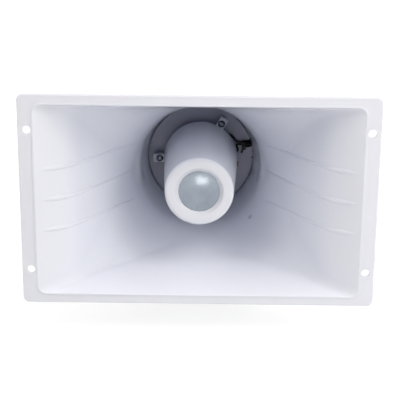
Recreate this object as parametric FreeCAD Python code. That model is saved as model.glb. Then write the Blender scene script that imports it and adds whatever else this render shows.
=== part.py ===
"""Rectangular horn loudspeaker for public address, with its driver inside the centre bullet.

Horn frame while modelling: X to the right, Y into the horn from the mouth plane, Z up, with the
horn's axis at X = Z = 0. All pieces move to the stored frame at the end, where the origin is the
middle of the footprint, level with the underside of the bracket's foot.
"""
import FreeCAD, Part
import math
import os

V = FreeCAD.Vector
AXIS = V(0, 1, 0)
OVERCUT = 1.0

# Mouth flange
FLANGE_W = 360.0
FLANGE_H = 218.0
FLANGE_T = 3.5
FLANGE_CORNER_R = 6.0
FLANGE_EDGE_R = 1.2
FLANGE_HOLE_R = 4.25
FLANGE_HOLE_INSET_X = 9.0
FLANGE_HOLE_INSET_Z = 36.0

# Flare of the bell
MOUTH_BORDER_X = 15.5
MOUTH_BORDER_Z = 10.5
MOUTH_CORNER_R = 8.0
MOUTH_EDGE_R = 1.1
BEAD_W = 1.8
BEAD_H = 0.6
BEAD_EDGE_R = 0.35
BELL_WALL = 3.0
FLARE_DEPTH = 141.0
LIP_ROLL = 16.0
LIP_DEPTH = 26.0
CORNER_GROWTH = 2.6
CORNER_TURN = 11.0
SLOPE_STEP = 0.5
FLARE_STATIONS = (0.0, 0.04, 0.09, 0.16, 0.27, 0.4, 0.55, 0.7, 0.83, 0.93)

# Ribs on the side walls
RIB_PITCH = 32.0
RIB_HALF_W = 2.7
RIB_H = 2.0
RIB_START = 2.5
RIB_STOP_MIDDLE = 1.0
RIB_STOP_OUTER = 21.0
RIB_PROFILE = (
    (0.0, 0.06), (0.01, 0.34), (0.03, 0.7), (0.06, 0.97), (0.1, 0.97), (0.17, 0.78), (0.26, 0.65),
    (0.38, 0.57), (0.52, 0.51), (0.67, 0.46), (0.82, 0.41), (0.93, 0.3), (1.0, 0.06),
)
RIB_ROOT = 1.0

# Round neck behind the flare
NECK_L = 54.0
NECK_TAPER = 8.2
NECK_CLEARANCE = 6.8
LEDGE_T = 3.5
LEDGE_W = 11.8
NECK_FLANGE_T = 7.0

# Neck plate that carries the bullet
PLATE_T = 5.0
PLATE_GAP = 0.8
PLATE_CHAMFER = 0.7
PLATE_GASKET_T = 1.0
PLATE_SCREW_INSET = 6.3
PLATE_SCREW_COUNT = 3
PLATE_SCREW_START = 90.0
PLATE_SCREW_BITE = 3.5
CABLE_NOTCH_ANGLE = 15.5
CABLE_NOTCH_W = 9.0
CABLE_NOTCH_DEPTH = 6.0
KEY_NOTCH_ANGLE = -1.0
KEY_NOTCH_W = 2.4
KEY_NOTCH_DEPTH = 1.8

# Bullet
BULLET_L = 144.6
BULLET_STANDOFF = 10.0
BULLET_ROOM = 14.0
BULLET_TAPER = 7.0
BULLET_WALL = 2.6
BULLET_EDGE_R = 3.5
BADGE_R = 21.6
BADGE_T = 0.8
BADGE_GAP = 0.2
RECESS_BORDER = 2.7
RECESS_DEPTH = 2.4
FOOT_COUNT = 3
FOOT_START = 60.0
FOOT_W = 9.4
FOOT_T = 3.0
FOOT_L = 12.0
FOOT_SCREW_OUTSET = 4.5
POST_W = 8.4
POST_L = 9.0
POST_INSET = 1.5
PILOT_DEPTH = 8.0

# Machine and self-tapping screws
M4_R = 2.0
M4_HEAD_R = 4.2
M4_HEAD_H = 2.6
M3_R = 1.5
M3_HEAD_R = 2.9
M3_HEAD_H = 2.0
HOLE_PLAY = 0.25
PILOT_PLAY = 0.05
PILOT_RUNOUT = 0.5
CROSS_BLADE = 0.24
CROSS_FLOOR = 0.5

# Compression driver inside the bullet, firing toward the neck plate
DRIVER_SETBACK = 99.0
YOKE_STEP = 2.0
YOKE_T = 5.0
POLE_R = 12.0
MAGNET_R = 29.0
MAGNET_BORE_GAP = 4.0
DRIVER_STEP = 1.0
MAGNET_T = 10.0
TOP_PLATE_T = 4.0
COIL_GAP = 0.5
COIL_T = 0.6
COIL_FREE = 2.0
DOME_T = 0.4
DOME_RISE = 3.5
SURROUND_SEAT_W = 8.0
SURROUND_T = 0.5
SURROUND_PLAY = 0.1
CLAMP_T = 4.0
SEAL_T = 1.0
DRIVER_SCREW_INSET = 4.5
DRIVER_SCREW_COUNT = 3
DRIVER_SCREW_START = 120.0
DRIVER_SCREW_BITE = 3.0
LUG_W = 3.2
LUG_T = 0.8
LUG_L = 5.0
LUG_ANGLES = (42.0, 9.0)

# Throat horn between driver and bullet rim
THROAT_FLANGE_BORDER = 0.8
THROAT_FLANGE_T = 7.0
THROAT_R = 10.0
THROAT_MOUTH_INSET = 6.9
THROAT_WALL = 2.0
THROAT_RIM_T = 2.5
THROAT_RIM_STEP = 4.0
THROAT_SEAT_W = 2.2
THROAT_SEAT_T = 3.0
THROAT_FIT = 0.2
THROAT_STATIONS = 6
THROAT_SLOT_MARGIN = 0.5
PLUG_RING_W = 4.0
PLUG_RING_T = 2.0
PLUG_SEAT_DEPTH = 5.0
PLUG_BASE_R = 7.0
PLUG_TIP_R = 1.5
PLUG_LENGTH = 18.0
PLUG_WEB_T = 1.4
PLUG_WEBS = 3
PLUG_WEB_START = 90.0
DOME_PLAY = 0.9

# Laminate strip under the bullet rim
TAG_ANGLE = -9.0
TAG_W = 6.0
TAG_T = 1.4
TAG_PLAY = 0.2
TAG_REACH = 1.6
TAG_INSET = 1.5
TAG_RIM_GAP = 0.6

# Rear housing
HOUSING_GASKET_T = 1.0
HOUSING_STEP = 4.2
HOUSING_TAPER = 12.0
HOUSING_DEPTH = 62.0
HOUSING_WALL = 3.0
HOUSING_EDGE_R = 6.0
HOUSING_FLANGE_T = 4.0
HOUSING_RIM = 1.0
HOUSING_SCREW_OUTSET = 4.5
HOUSING_SCREW_COUNT = 4
HOUSING_SCREW_START = 45.0
HOUSING_SCREW_BITE = 8.0
SCREW_BOSS_R = 6.0
SCREW_BOSS_L = 12.0

# Line transformer and terminal block in the housing
CORE_W = 41.0
CORE_H = 34.0
CORE_STACK = 15.0
CORE_LEG = 7.0
COIL_WRAP = 5.0
COIL_PLAY = 0.4
STRAP_T = 1.2
STRAP_FOOT_L = 10.0
STRAP_BORDER = 1.0
TRANSFORMER_Z = 12.0
TRANSFORMER_BOSS_H = 3.0
BLOCK_W = 32.0
BLOCK_H = 11.0
BLOCK_T = 14.0
BLOCK_Z = -24.0
BLOCK_WAYS = 3
BLOCK_SCREW_R = 1.8
BLOCK_SCREW_DEPTH = 3.0
BLOCK_SCREW_SUNK = 1.0
BLOCK_WELL_PLAY = 0.3
BLOCK_SLOT_W = 0.6
BLOCK_SLOT_DEPTH = 0.7

# Cable gland under the housing
GLAND_Y_FROM_REAR = 24.0
GLAND_THREAD_R = 6.0
GLAND_BORE_R = 3.6
GLAND_HEX_AF = 19.0
GLAND_HEX_T = 5.0
GLAND_NECK_R = 7.0
GLAND_NECK_L = 8.0
GLAND_FIT = 0.2
GLAND_THREAD_OUT = 1.0
GLAND_SEAL_R = 5.4
GLAND_SEAL_SEAT = 1.0
GLAND_SEAL_BORE_R = 2.6
GLAND_FLUTES = 12
GLAND_FLUTE_R = 1.4
GLAND_FLUTE_OUT = 0.77
GLAND_CAP_R = 9.0
GLAND_CAP_L = 11.0
GLAND_CAP_WALL = 1.6
GLAND_NUT_T = 4.0
GLAND_PAD_H = 1.5
GLAND_PAD_R = 13.0

# Swivel joint between bell and bracket
PIVOT_FROM_PLATE = 37.0
PIVOT_BOSS_R = 13.0
PIVOT_BOSS_H = 8.0
INSERT_R = 4.4
INSERT_L = 8.0
BOLT_R = 3.0
BOLT_PLAY = 0.25
BOLT_HEAD_AF = 10.0
BOLT_HEAD_T = 4.0
BOLT_CROWN = 0.2
PAD_R = 12.0
PAD_T = 1.5
WASHER_R = 7.0
WASHER_T = 1.2
SPRING_R = 5.6
SPRING_T = 1.6
SPRING_SLOT = 1.0

# U bracket
BRACKET_T = 3.0
BRACKET_TOP_R = 15.0
BRACKET_FOOT_L = 84.0
BRACKET_FOOT_RISE = 16.0
BRACKET_BEND_R = 6.0
AXIS_HEIGHT = 140.0
BASE_HOLE_R = 5.25
BASE_SLOT_R = 3.5
BASE_SLOT_L = 22.0
BASE_SLOT_SPACING = 96.0

# Leads from the driver to the terminal block
LEAD_R = 1.2
LEAD_SLOT_PLAY = 1.0
LEAD_GAP = 0.15
LEAD_ANGLES = (44.0, 6.0)
LEAD_SWEEP = (-18.0, 11.0)
LEAD_STRAIGHT = 14.0
LEAD_WALL_GAP = 0.4
LEAD_BOW = 1.5
LEAD_LEAN = 0.6
LEAD_TUCK = 1.0
LEAD_LIFT = 0.5
LEAD_OUT = 1.8
LEAD_END_L = 5.0
SOLDER_INSET = 0.3
BEND_SHARE = 0.45
SLEEVE_R = 2.6
SLEEVE_START_OUT = 5.6
SLEEVE_START_TURN = 4.7
SLEEVE_LIFT = 4.2
SLEEVE_GAP = 0.5
SLEEVE_DIP = 0.6
SLEEVE_DROP = 6.0
SLEEVE_TURN = (47.0, 14.0, 2.0)
BLOCK_APPROACH = (14.0, -8.0, 9.0)
BLOCK_ENTRY = 8.0
TIE_AT = 4.4
TIE_PLAY = 0.1
TIE_TAIL_LEAN = 22.0
TIE_W = 3.0
TIE_T = 1.2
TIE_HEAD = 4.4
TIE_HEAD_GAP = 0.3
TIE_TAIL_W = 2.4
TIE_TAIL_L = 7.0

MOUTH_W = FLANGE_W - 2 * MOUTH_BORDER_X
MOUTH_H = FLANGE_H - 2 * MOUTH_BORDER_Z
DRIVER_R = MAGNET_R - DRIVER_STEP
YOKE_R = MAGNET_R - YOKE_STEP
MAGNET_BORE_R = POLE_R + MAGNET_BORE_GAP
DRIVER_SCREW_CIRCLE_R = DRIVER_R - DRIVER_SCREW_INSET
BULLET_REAR_R = MAGNET_R + BULLET_ROOM
BULLET_FRONT_R = BULLET_REAR_R - BULLET_TAPER
BULLET_BORE_R = BULLET_REAR_R - BULLET_WALL
RECESS_R = BADGE_R + RECESS_BORDER
FOOT_REACH_R = BULLET_REAR_R + FOOT_L
FOOT_SCREW_R = BULLET_REAR_R + FOOT_SCREW_OUTSET
NECK_REAR_R = FOOT_REACH_R + NECK_CLEARANCE
NECK_FRONT_R = NECK_REAR_R + NECK_TAPER
PLATE_R = NECK_REAR_R - PLATE_GAP
PLATE_SCREW_CIRCLE_R = NECK_REAR_R - PLATE_SCREW_INSET
LEDGE_BORE_R = NECK_REAR_R - LEDGE_W
HOUSING_FRONT_R = NECK_REAR_R + HOUSING_STEP
HOUSING_REAR_R = HOUSING_FRONT_R - HOUSING_TAPER
HOUSING_SCREW_CIRCLE_R = HOUSING_FRONT_R + HOUSING_SCREW_OUTSET
NECK_FLANGE_R = HOUSING_FRONT_R + HOUSING_RIM
THROAT_FLANGE_R = DRIVER_R + THROAT_FLANGE_BORDER
THROAT_MOUTH_R = BULLET_BORE_R - THROAT_MOUTH_INSET
PLUG_RING_R = THROAT_R + PLUG_RING_W
PIVOT_BOSS_X = NECK_FRONT_R + PIVOT_BOSS_H
PLATE_Y = FLARE_DEPTH + NECK_L
BULLET_REAR_Y = PLATE_Y - BULLET_STANDOFF
BULLET_FRONT_Y = BULLET_REAR_Y - BULLET_L
YOKE_Y = BULLET_REAR_Y - DRIVER_SETBACK
PIVOT_Y = PLATE_Y - PIVOT_FROM_PLATE
SLEEVE_START_Y = PLATE_Y - SLEEVE_LIFT
LEDGE_Y = PLATE_Y + PLATE_T + PLATE_GASKET_T
NECK_END_Y = LEDGE_Y + LEDGE_T
HOUSING_Y = NECK_END_Y + HOUSING_GASKET_T
REAR_Y = HOUSING_Y + HOUSING_DEPTH
MAGNET_Y = YOKE_Y + YOKE_T
TOP_PLATE_Y = MAGNET_Y + MAGNET_T
CLAMP_Y = TOP_PLATE_Y + TOP_PLATE_T
DIAPHRAGM_Y = CLAMP_Y + CLAMP_T
SEAL_Y = DIAPHRAGM_Y + SURROUND_T
THROAT_Y = SEAL_Y + SEAL_T
THROAT_RIM_Y = BULLET_REAR_Y - THROAT_RIM_STEP
COIL_BORE_R = POLE_R + COIL_GAP
COIL_OUTER_R = COIL_BORE_R + COIL_T
GAP_OUTER_R = COIL_OUTER_R + COIL_GAP
BRACKET_INNER_X = PIVOT_BOSS_X + PAD_T
BRACKET_OUTER_X = BRACKET_INNER_X + BRACKET_T


def polar(radius, angle, y):
    """The point at this radius and angle about the horn's axis."""
    a = math.radians(angle)
    return V(radius * math.cos(a), y, radius * math.sin(a))


def spaced(count, start):
    """Angles of count places round the axis."""
    return [start + 360.0 * k / count for k in range(count)]


def disc(radius, y, length, centre=V(0, 0, 0)):
    """A cylinder along the horn's axis, from y to y + length."""
    return Part.makeCylinder(radius, length, centre + V(0, y, 0), AXIS)


def hole(radius, y, length, centre=V(0, 0, 0)):
    """The cutter for a round hole through material from y to y + length, running past both faces."""
    return disc(radius, y - OVERCUT, length + 2 * OVERCUT, centre)


def ring(outer, inner, y, length):
    """A plain round ring about the horn's axis."""
    return disc(outer, y, length).cut(hole(inner, y, length))


def union(shapes):
    """All the shapes as one clean solid."""
    first, rest = shapes[0], shapes[1:]
    return first.fuse(rest).removeSplitter()


def turned(outline):
    """A solid of revolution about the horn's axis from (radius, y) corners."""
    corners = [V(r, y, 0) for r, y in outline]
    face = Part.Face(Part.makePolygon(corners + [corners[0]]))
    return face.revolve(V(0, 0, 0), AXIS, 360)


def hexagon(flats, centre, direction, length):
    """A hexagonal prism that starts at centre and runs along direction."""
    side = Part.makeCircle(flats / math.sqrt(3), V(0, 0, 0), V(0, 0, 1))
    corners = [side.Curve.value(math.radians(60 * k)) for k in range(7)]
    prism = Part.Face(Part.makePolygon(corners)).extrude(V(0, 0, length))
    prism.Placement = FreeCAD.Placement(centre, FreeCAD.Rotation(V(0, 0, 1), direction))
    return prism


def radial_box(angle, inner_r, outer_r, width, y, length):
    """A block that points out from the axis at this angle."""
    box = Part.makeBox(outer_r - inner_r, length, width, V(inner_r, y, -width / 2))
    box.rotate(V(0, 0, 0), AXIS, -angle)
    return box


def plate_screw_places(y):
    """Centres of the neck plate's screws in the plane at y."""
    return [polar(PLATE_SCREW_CIRCLE_R, a, y) for a in spaced(PLATE_SCREW_COUNT, PLATE_SCREW_START)]


def housing_screw_places(y):
    """Centres of the rear housing's screws in the plane at y."""
    return [polar(HOUSING_SCREW_CIRCLE_R, a, y) for a in spaced(HOUSING_SCREW_COUNT, HOUSING_SCREW_START)]


def eared_disc(y, length):
    """The round joint between bell and rear housing, with an ear round each of its screws."""
    shapes = [disc(NECK_FLANGE_R, y, length)]
    for a in spaced(HOUSING_SCREW_COUNT, HOUSING_SCREW_START):
        shapes.append(radial_box(a, 0, HOUSING_SCREW_CIRCLE_R, 2 * SCREW_BOSS_R, y, length))
    shapes += [disc(SCREW_BOSS_R, 0, length, place) for place in housing_screw_places(y)]
    return union(shapes)


def pan_screw(centre, direction, shank_r, shank_l, head_r, head_h):
    """A pan-head screw: centre is under the head and direction points out of it."""
    low = Part.makeCylinder(shank_r, shank_l, V(0, 0, -shank_l))
    dome_r = (head_r ** 2 + head_h ** 2) / (2 * head_h)
    head = Part.makeSphere(dome_r, V(0, 0, head_h - dome_r))
    head = head.common(Part.makeCylinder(head_r, head_h))
    blade = head_r * CROSS_BLADE
    recess = Part.makeBox(head_r, blade, head_h, V(-head_r / 2, -blade / 2, head_h * CROSS_FLOOR))
    cross = recess.copy()
    cross.rotate(V(0, 0, 0), V(0, 0, 1), 90)
    screw = low.fuse(head).removeSplitter().cut(recess.fuse(cross))
    screw.Placement = FreeCAD.Placement(centre, FreeCAD.Rotation(V(0, 0, 1), direction))
    return screw


def half_width(y):
    """Half the inside width of the flare: exponential, with an outward roll at the lip."""
    start = MOUTH_W / 2 - LIP_ROLL
    rate = math.log(start / NECK_FRONT_R) / FLARE_DEPTH
    return start * math.exp(-rate * y) + LIP_ROLL * max(0.0, 1 - y / LIP_DEPTH) ** 2


def half_height(y):
    """Half the inside height of the flare, exponential all the way."""
    rate = math.log(MOUTH_H / 2 / NECK_FRONT_R) / FLARE_DEPTH
    return MOUTH_H / 2 * math.exp(-rate * y)


def corner_radius(y):
    """Inside corner radius of the flare, easing into the round section at the neck."""
    share = math.sin(math.pi / 2 * max(0.0, y / FLARE_DEPTH)) ** CORNER_GROWTH
    return MOUTH_CORNER_R + (half_height(y) - MOUTH_CORNER_R) * share


def wall_point(side, y, z, outward):
    """A point at height z on a side wall of the flare, moved outward by this much."""
    radius = corner_radius(y)
    into_corner = max(0.0, abs(z) - (half_height(y) - radius))
    return V(side * (half_width(y) - radius + math.sqrt(radius ** 2 - into_corner ** 2) + outward), y, z)


def slanted(profile, y, wall):
    """Half size of a skin that lies wall away from the sloping profile."""
    slope = (profile(y + SLOPE_STEP) - profile(y - SLOPE_STEP)) / (2 * SLOPE_STEP)
    return profile(y) + wall * math.sqrt(1 + slope ** 2)


def side_edge(low, high, radius, overlap):
    """A straight side with this much of the two corner arcs at its ends."""
    if overlap == 0:
        return Part.LineSegment(low, high).toShape()
    turns = [overlap, overlap / 2, 0.0]
    start = [low + polar(radius, -a, 0) - V(radius, 0, 0) for a in turns]
    end = [high + polar(radius, a, 0) - V(radius, 0, 0) for a in reversed(turns)]
    curve = Part.BSplineCurve()
    curve.interpolate(start + [(low + high) / 2] + end)
    return curve.toShape()


def oblong_section(half_w, half_h, radius, y, overlap=0.0):
    """A rounded rectangle across the axis in eight edges; overlap is the share of a corner, in
    degrees from each of its ends, that belongs to the sides beside it."""
    edges = []
    for turn in range(4):
        wide, tall = (half_w, half_h) if turn % 2 == 0 else (half_h, half_w)
        spin = FreeCAD.Rotation(V(0, -1, 0), 90 * turn)
        low, high = V(wide, 0, radius - tall), V(wide, 0, tall - radius)
        middle = V(wide - radius, 0, tall - radius)
        bends = [middle + polar(radius, a, 0) for a in (overlap, 45.0, 90.0 - overlap)]
        for edge in (side_edge(low, high, radius, overlap), Part.Arc(*bends).toShape()):
            edge.Placement = FreeCAD.Placement(V(0, y, 0), spin)
            edges.append(edge)
    return Part.Wire(edges)


def round_section(radius, y):
    """A circle in the same eight edges as the rounded rectangles before it."""
    edges = []
    for turn in range(4):
        for low, high in ((-CORNER_TURN, CORNER_TURN), (CORNER_TURN, 90 - CORNER_TURN)):
            stops = [polar(radius, 90 * turn + a, y) for a in (low, (low + high) / 2, high)]
            edges.append(Part.Arc(*stops).toShape())
    return Part.Wire(edges)


def flare_solid(wall, front_y):
    """The flare filled in, grown by wall on every side, from front_y to the neck."""
    sections = []
    for y in [front_y] + [FLARE_DEPTH * share for share in FLARE_STATIONS[1:]]:
        sections.append(
            oblong_section(
                slanted(half_width, y, wall),
                slanted(half_height, y, wall),
                corner_radius(y) + wall,
                y,
                CORNER_TURN * max(0.0, y / FLARE_DEPTH) ** 2,
            )
        )
    sections.append(round_section(NECK_FRONT_R + wall, FLARE_DEPTH))
    return Part.makeLoft(sections, True, False)


def neck_cone(wall, end_y):
    """The tapering neck filled in, from the end of the flare to the neck plate and on."""
    cone = Part.makeCone(NECK_FRONT_R + wall, NECK_REAR_R + wall, NECK_L, V(0, FLARE_DEPTH, 0), AXIS)
    return cone.fuse(disc(NECK_REAR_R + wall, PLATE_Y, end_y - PLATE_Y))


def rib(side, z, end_y):
    """One moulded rib along the inside of a side wall: its profile gives shares of length and size."""
    sections = []
    for along, swell in RIB_PROFILE:
        y = RIB_START + (end_y - RIB_START) * along
        tip = wall_point(side, y, z, -RIB_H * swell)
        low = wall_point(side, y, z - RIB_HALF_W * swell, RIB_ROOT)
        high = wall_point(side, y, z + RIB_HALF_W * swell, RIB_ROOT)
        arc = Part.Arc(low, tip, high).toShape()
        line = Part.LineSegment(high, low).toShape()
        sections.append(Part.Wire([arc, line]))
    return Part.makeLoft(sections, True, False)


def ribs():
    """Three ribs on each side wall, the middle one reaching deepest."""
    shapes = []
    for side in (-1, 1):
        for step in (-1, 0, 1):
            stop = RIB_STOP_OUTER if step else RIB_STOP_MIDDLE
            shapes.append(rib(side, step * RIB_PITCH, FLARE_DEPTH - stop))
    return shapes


def flange_plate():
    """The flat frame round the mouth, with its front outer edge rounded."""
    outline = oblong_section(FLANGE_W / 2, FLANGE_H / 2, FLANGE_CORNER_R, BEAD_H)
    plate = Part.Face(outline).extrude(V(0, FLANGE_T, 0))
    front = [e for e in plate.Edges if e.BoundBox.YMax < BEAD_H + FLANGE_T / 2]
    return plate.makeFillet(FLANGE_EDGE_R, front)


def mouth_bead():
    """The low rim round the mouth that stands proud of the flange."""
    outline = oblong_section(MOUTH_W / 2 + BEAD_W, MOUTH_H / 2 + BEAD_W, MOUTH_CORNER_R + BEAD_W, 0)
    rim = Part.Face(outline).extrude(V(0, FLANGE_T, 0))
    front = [e for e in rim.Edges if e.BoundBox.YMax < FLANGE_T / 2]
    return rim.makeFillet(BEAD_EDGE_R, front)


def flange_hole_centres():
    """The four fixing places in the flange's corners."""
    x, z = FLANGE_W / 2 - FLANGE_HOLE_INSET_X, FLANGE_H / 2 - FLANGE_HOLE_INSET_Z
    return [V(sx * x, 0, sz * z) for sx in (-1, 1) for sz in (-1, 1)]


def cable_notch(inner_r, y, length):
    """The cutter for the slot that lets the leads past the plate, its gasket or the ledge."""
    low, deep = y - OVERCUT, length + 2 * OVERCUT
    return radial_box(CABLE_NOTCH_ANGLE, inner_r - OVERCUT, NECK_REAR_R, CABLE_NOTCH_W, low, deep)


def pivot_boss(side):
    """The round boss on the neck that the bracket's bolt screws into."""
    start = V(side * NECK_REAR_R, PIVOT_Y, 0)
    return Part.makeCylinder(PIVOT_BOSS_R, PIVOT_BOSS_X - NECK_REAR_R, start, V(side, 0, 0))


def screw_bosses():
    """Bosses in front of the joint's ears for the rear housing's screws."""
    places = housing_screw_places(NECK_END_Y - SCREW_BOSS_L)
    return [disc(SCREW_BOSS_R, 0, SCREW_BOSS_L, place) for place in places]


def rounded_mouth(body):
    """The bell with the inner edge of its mouth rounded."""
    edges = []
    for e in body.Edges:
        box = e.BoundBox
        wide, tall = max(box.XMax, -box.XMin), max(box.ZMax, -box.ZMin)
        if abs(box.Center.y) < BEAD_H / 2 and wide < (MOUTH_W + BEAD_W) / 2 and tall < (MOUTH_H + BEAD_W) / 2:
            edges.append(e)
    return body.makeFillet(MOUTH_EDGE_R, edges)


def bell():
    """Flange, flare, ribs, neck, pivot bosses and ledge, moulded in one piece."""
    skin = [flange_plate(), mouth_bead()]
    skin += [flare_solid(BELL_WALL, FLANGE_T / 2), neck_cone(BELL_WALL, NECK_END_Y)]
    skin.append(eared_disc(NECK_END_Y - NECK_FLANGE_T, NECK_FLANGE_T))
    skin += [pivot_boss(side) for side in (-1, 1)]
    skin += screw_bosses()
    body = union(skin)
    body = body.cut([flare_solid(0.0, -OVERCUT), neck_cone(0.0, LEDGE_Y)])
    holes = [hole(LEDGE_BORE_R, LEDGE_Y, LEDGE_T)]
    holes += [hole(FLANGE_HOLE_R, BEAD_H, FLANGE_T + BELL_WALL, c) for c in flange_hole_centres()]
    holes.append(cable_notch(LEDGE_BORE_R, LEDGE_Y, LEDGE_T))
    for side in (-1, 1):
        mouth = V(side * PIVOT_BOSS_X, PIVOT_Y, 0)
        holes.append(Part.makeCylinder(INSERT_R + PILOT_PLAY, INSERT_L, mouth, V(-side, 0, 0)))
    deep = HOUSING_SCREW_BITE + PILOT_RUNOUT
    holes += [disc(M4_R + PILOT_PLAY, 0, deep, place) for place in housing_screw_places(NECK_END_Y - deep)]
    holes += [hole(M3_R + HOLE_PLAY, LEDGE_Y, LEDGE_T, place) for place in plate_screw_places(0)]
    body = body.cut(holes)
    return rounded_mouth(body).fuse(ribs()).removeSplitter()


def neck_plate():
    """The disc that closes the neck: three standoff blocks, a notch for the leads, a key notch."""
    plate = disc(PLATE_R, PLATE_Y, PLATE_T)
    rim = [e for e in plate.Edges if e.BoundBox.YMax < PLATE_Y + PLATE_T / 2]
    plate = plate.makeChamfer(PLATE_CHAMFER, rim)
    blocks = []
    pilots = []
    for a in spaced(FOOT_COUNT, FOOT_START):
        outer = FOOT_REACH_R - POST_INSET
        height = BULLET_STANDOFF + PLATE_CHAMFER
        blocks.append(radial_box(a, outer - POST_L, outer, POST_W, BULLET_REAR_Y, height))
        pilots.append(hole(M4_R + PILOT_PLAY, BULLET_REAR_Y, PILOT_DEPTH, polar(FOOT_SCREW_R, a, 0)))
    deep = PLATE_SCREW_BITE + PILOT_RUNOUT
    places = plate_screw_places(PLATE_Y + PLATE_T - deep)
    pilots += [disc(M3_R + PILOT_PLAY, 0, deep, place) for place in places]
    pilots.append(cable_notch(PLATE_R - CABLE_NOTCH_DEPTH, PLATE_Y, PLATE_T))
    inner, low, through = PLATE_R - KEY_NOTCH_DEPTH, PLATE_Y - OVERCUT, PLATE_T + 2 * OVERCUT
    pilots.append(radial_box(KEY_NOTCH_ANGLE, inner, NECK_REAR_R, KEY_NOTCH_W, low, through))
    return plate.fuse(blocks).cut(pilots)


def plate_gasket():
    """Flat seal between the neck plate and the bell's ledge."""
    seal = ring(PLATE_R, LEDGE_BORE_R, PLATE_Y + PLATE_T, PLATE_GASKET_T)
    low = PLATE_Y + PLATE_T
    cuts = [hole(M3_R + HOLE_PLAY, low, PLATE_GASKET_T, place) for place in plate_screw_places(0)]
    return seal.cut(cuts + [cable_notch(LEDGE_BORE_R, low, PLATE_GASKET_T)])


def plate_screws():
    """Screws that pull the neck plate onto the ledge from behind."""
    length = LEDGE_T + PLATE_GASKET_T + PLATE_SCREW_BITE
    return Part.makeCompound([
        pan_screw(place, AXIS, M3_R, length, M3_HEAD_R, M3_HEAD_H) for place in plate_screw_places(NECK_END_Y)
    ])


def bullet_bore(y):
    """Inside radius of the tapering bullet shell."""
    along = (y - BULLET_FRONT_Y) / (BULLET_REAR_Y - BULLET_FRONT_Y)
    return BULLET_FRONT_R + (BULLET_REAR_R - BULLET_FRONT_R) * along - BULLET_WALL


def lead_slots(inner_r, outer_r, y, length):
    """Slots that let the two driver leads pass."""
    width = 2 * LEAD_R + LEAD_SLOT_PLAY
    return [radial_box(a, inner_r, outer_r, width, y, length) for a in LEAD_ANGLES]


def bullet_shell():
    """The white bullet: closed front with a badge recess, and three screw feet at its rim."""
    floor_y = BULLET_FRONT_Y + RECESS_DEPTH + BADGE_T
    inside_y = floor_y + BULLET_WALL
    seat_r = BULLET_BORE_R - THROAT_SEAT_W
    ramp_y = THROAT_RIM_Y - THROAT_SEAT_T - THROAT_SEAT_W
    shell = turned([
        (0, floor_y),
        (BADGE_R + BADGE_GAP, floor_y),
        (BADGE_R + BADGE_GAP, BULLET_FRONT_Y + RECESS_DEPTH),
        (RECESS_R, BULLET_FRONT_Y),
        (BULLET_FRONT_R, BULLET_FRONT_Y),
        (BULLET_REAR_R, BULLET_REAR_Y),
        (BULLET_BORE_R, BULLET_REAR_Y),
        (BULLET_BORE_R, THROAT_RIM_Y),
        (seat_r, THROAT_RIM_Y),
        (seat_r, THROAT_RIM_Y - THROAT_SEAT_T),
        (bullet_bore(ramp_y), ramp_y),
        (bullet_bore(inside_y), inside_y),
        (0, inside_y),
    ])
    front = [
        e for e in shell.Edges
        if e.BoundBox.YMax < BULLET_FRONT_Y + RECESS_DEPTH / 2 and e.BoundBox.XMax > RECESS_R + RECESS_BORDER
    ]
    shell = shell.makeFillet(BULLET_EDGE_R, front)
    feet = []
    holes = lead_slots(seat_r - OVERCUT, BULLET_BORE_R, ramp_y, THROAT_SEAT_T + THROAT_SEAT_W)
    for a in spaced(FOOT_COUNT, FOOT_START):
        inner = BULLET_REAR_R - BULLET_WALL / 2
        feet.append(radial_box(a, inner, FOOT_REACH_R, FOOT_W, BULLET_REAR_Y - FOOT_T, FOOT_T))
        place = polar(FOOT_SCREW_R, a, 0)
        holes.append(hole(M4_R + HOLE_PLAY, BULLET_REAR_Y - FOOT_T, FOOT_T, place))
    return shell.fuse(feet).cut(holes)


def bullet_screws():
    """Screws through the bullet's feet into the standoff blocks."""
    length = FOOT_T + PILOT_DEPTH - PILOT_RUNOUT
    head_y = BULLET_REAR_Y - FOOT_T
    return Part.makeCompound([
        pan_screw(polar(FOOT_SCREW_R, a, head_y), V(0, -1, 0), M4_R, length, M4_HEAD_R, M4_HEAD_H)
        for a in spaced(FOOT_COUNT, FOOT_START)
    ])


def badge():
    """The plain round metal disc in the bullet's front."""
    return disc(BADGE_R, BULLET_FRONT_Y + RECESS_DEPTH, BADGE_T)


def yoke():
    """Back plate and pole, turned in one."""
    return union([disc(YOKE_R, YOKE_Y, YOKE_T), disc(POLE_R, YOKE_Y, CLAMP_Y - YOKE_Y)])


def magnet():
    """Ring magnet between yoke and top plate."""
    return ring(MAGNET_R, MAGNET_BORE_R, MAGNET_Y, MAGNET_T)


def driver_screw_places():
    """Points on the driver screws' circle, in the plane of the horn's axis origin."""
    return [polar(DRIVER_SCREW_CIRCLE_R, a, 0) for a in spaced(DRIVER_SCREW_COUNT, DRIVER_SCREW_START)]


def top_plate():
    """Front pole plate, tapped for the screws that hold the driver to its horn."""
    plate = ring(DRIVER_R, GAP_OUTER_R, TOP_PLATE_Y, TOP_PLATE_T)
    deep = DRIVER_SCREW_BITE + PILOT_RUNOUT
    low, length = CLAMP_Y - deep, deep + OVERCUT
    return plate.cut([disc(M3_R + PILOT_PLAY, low, length, c) for c in driver_screw_places()])


def voice_coil():
    """The coil and its former, hanging in the magnet gap."""
    return ring(COIL_OUTER_R, COIL_BORE_R, TOP_PLATE_Y - COIL_FREE, DIAPHRAGM_Y - TOP_PLATE_Y + COIL_FREE)


def dome_radius():
    """Radius of the sphere that the dome's inside is cut from."""
    return (COIL_OUTER_R ** 2 + DOME_RISE ** 2) / (2 * DOME_RISE)


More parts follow.
